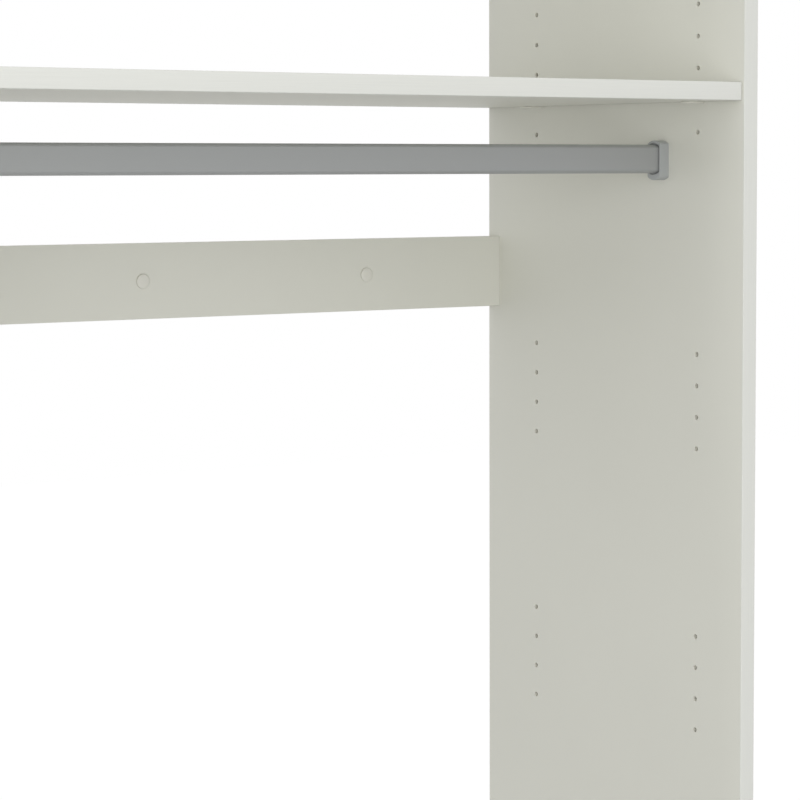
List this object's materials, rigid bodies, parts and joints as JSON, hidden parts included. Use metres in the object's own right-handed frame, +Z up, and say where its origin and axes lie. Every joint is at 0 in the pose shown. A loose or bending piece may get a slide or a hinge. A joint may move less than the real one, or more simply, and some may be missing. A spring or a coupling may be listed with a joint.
{
  "type": "wall mounted closet bay",
  "caption": "Wall mounted closet bay: drilled side panels, fixed top shelf, liftable shelf on push-in supports, oval rod in closed collars, screwed wall rails with screw caps.",
  "frame": {"origin": "where the upper rail's middle wall screw enters the wall, on the wall's face at the rail's mid-height", "axes": "+X to the right along the wall, +Y into the wall, square to it, +Z up"},
  "size_m": [0.9504, 0.4502, 1.8288],
  "materials": {
    "laminated_board": "satin off-white melamine on particleboard",
    "edge_band": "satin off-white PVC strip",
    "rod_steel": "satin grey coated tube",
    "collar_metal": "satin grey coated die casting",
    "support_plastic": "off-white moulded plastic",
    "fastener_steel": "zinc plated",
    "cam_zinc": "die cast zinc",
    "dowel_wood": "plain beech"
  },
  "bodies": {
    "bay": {"left_panel": "laminated_board", "left_panel_edge_band": "edge_band", "right_panel": "laminated_board", "right_panel_edge_band": "edge_band", "top_shelf": "laminated_board", "top_shelf_edge_band": "edge_band", "shelf_support_left_front": "support_plastic", "shelf_support_left_rear": "support_plastic", "shelf_support_right_front": "support_plastic", "shelf_support_right_rear": "support_plastic", "closet_rod": "rod_steel", "left_rod_collar": "collar_metal", "left_collar_screw_upper": "fastener_steel", "left_collar_screw_lower": "fastener_steel", "right_rod_collar": "collar_metal", "right_collar_screw_upper": "fastener_steel", "right_collar_screw_lower": "fastener_steel", "upper_wall_rail": "laminated_board", "upper_rail_cam_left": "cam_zinc", "upper_rail_cam_bolt_left": "fastener_steel", "upper_rail_dowel_left": "dowel_wood", "upper_rail_cam_right": "cam_zinc", "upper_rail_cam_bolt_right": "fastener_steel", "upper_rail_dowel_right": "dowel_wood", "upper_rail_wall_screw_left": "fastener_steel", "upper_rail_washer_left": "support_plastic", "upper_rail_wall_screw_middle": "fastener_steel", "upper_rail_washer_middle": "support_plastic", "upper_rail_wall_screw_right": "fastener_steel", "upper_rail_washer_right": "support_plastic", "lower_wall_rail": "laminated_board", "lower_rail_cam_left": "cam_zinc", "lower_rail_cam_bolt_left": "fastener_steel", "lower_rail_dowel_left": "dowel_wood", "lower_rail_cam_right": "cam_zinc", "lower_rail_cam_bolt_right": "fastener_steel", "lower_rail_dowel_right": "dowel_wood", "lower_rail_wall_screw_left": "fastener_steel", "lower_rail_washer_left": "support_plastic", "lower_rail_wall_screw_middle": "fastener_steel", "lower_rail_washer_middle": "support_plastic", "lower_rail_wall_screw_right": "fastener_steel", "lower_rail_washer_right": "support_plastic", "top_shelf_cam_left_front": "cam_zinc", "top_shelf_cam_bolt_left_front": "fastener_steel", "top_shelf_cam_left_rear": "cam_zinc", "top_shelf_cam_bolt_left_rear": "fastener_steel", "top_shelf_cam_right_front": "cam_zinc", "top_shelf_cam_bolt_right_front": "fastener_steel", "top_shelf_cam_right_rear": "cam_zinc", "top_shelf_cam_bolt_right_rear": "fastener_steel"},
    "shelf": {"adjustable_shelf": "laminated_board", "adjustable_shelf_edge_band": "edge_band"},
    "upper_cap_left": {"upper_rail_screw_cap_left": "support_plastic"},
    "upper_cap_middle": {"upper_rail_screw_cap_middle": "support_plastic"},
    "upper_cap_right": {"upper_rail_screw_cap_right": "support_plastic"},
    "lower_cap_left": {"lower_rail_screw_cap_left": "support_plastic"},
    "lower_cap_middle": {"lower_rail_screw_cap_middle": "support_plastic"},
    "lower_cap_right": {"lower_rail_screw_cap_right": "support_plastic"}
  },
  "joints": [
    {"name": "adjustable_shelf_lift", "type": "slide", "parent": "bay", "child": "shelf", "axis": [0, 0, 1], "range_m": [0, 0.35]},
    {"name": "upper_cap_left_pull", "type": "slide", "parent": "bay", "child": "upper_cap_left", "axis": [0, -1, 0], "range_m": [0, 0.02]},
    {"name": "upper_cap_middle_pull", "type": "slide", "parent": "bay", "child": "upper_cap_middle", "axis": [0, -1, 0], "range_m": [0, 0.02]},
    {"name": "upper_cap_right_pull", "type": "slide", "parent": "bay", "child": "upper_cap_right", "axis": [0, -1, 0], "range_m": [0, 0.02]},
    {"name": "lower_cap_left_pull", "type": "slide", "parent": "bay", "child": "lower_cap_left", "axis": [0, -1, 0], "range_m": [0, 0.02]},
    {"name": "lower_cap_middle_pull", "type": "slide", "parent": "bay", "child": "lower_cap_middle", "axis": [0, -1, 0], "range_m": [0, 0.02]},
    {"name": "lower_cap_right_pull", "type": "slide", "parent": "bay", "child": "lower_cap_right", "axis": [0, -1, 0], "range_m": [0, 0.02]}
  ]
}
